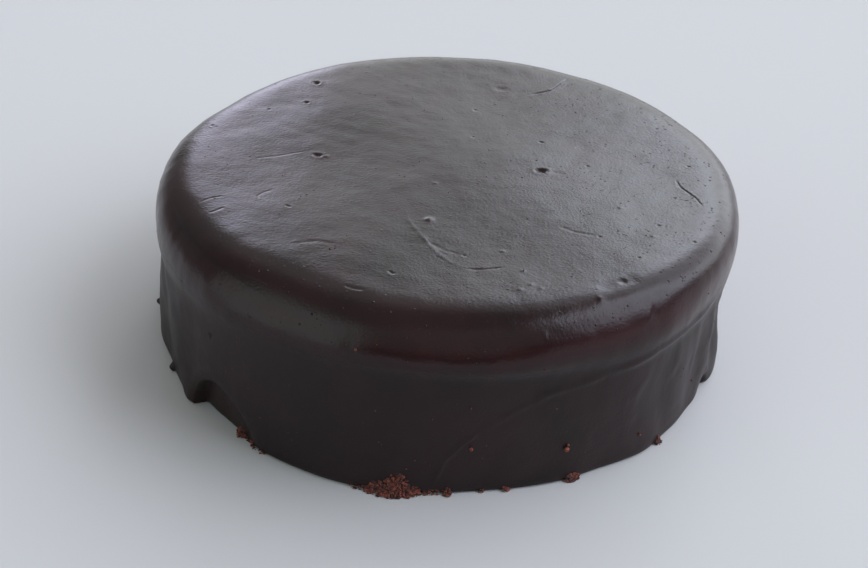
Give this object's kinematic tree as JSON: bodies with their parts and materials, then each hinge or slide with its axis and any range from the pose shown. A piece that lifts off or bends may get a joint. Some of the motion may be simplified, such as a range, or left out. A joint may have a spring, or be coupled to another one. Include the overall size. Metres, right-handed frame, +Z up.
{
  "type": "sachertorte",
  "caption": "Whole round sachertorte under poured dark chocolate glaze, with an overhanging rounded shoulder, a folded wall and an uneven hem.",
  "frame": {"origin": "middle of the cake's flat base, on the surface that it stands on", "axes": "+Z up, -Y towards the side that the picture shows, +X to the right of it"},
  "size_m": [0.205, 0.2043, 0.0658],
  "materials": {
    "chocolate_glaze": "satin dark chocolate glaze",
    "chocolate_sponge": "matte crumbly chocolate sponge"
  },
  "bodies": {
    "root": {"cake": "chocolate_glaze"}
  },
  "joints": []
}
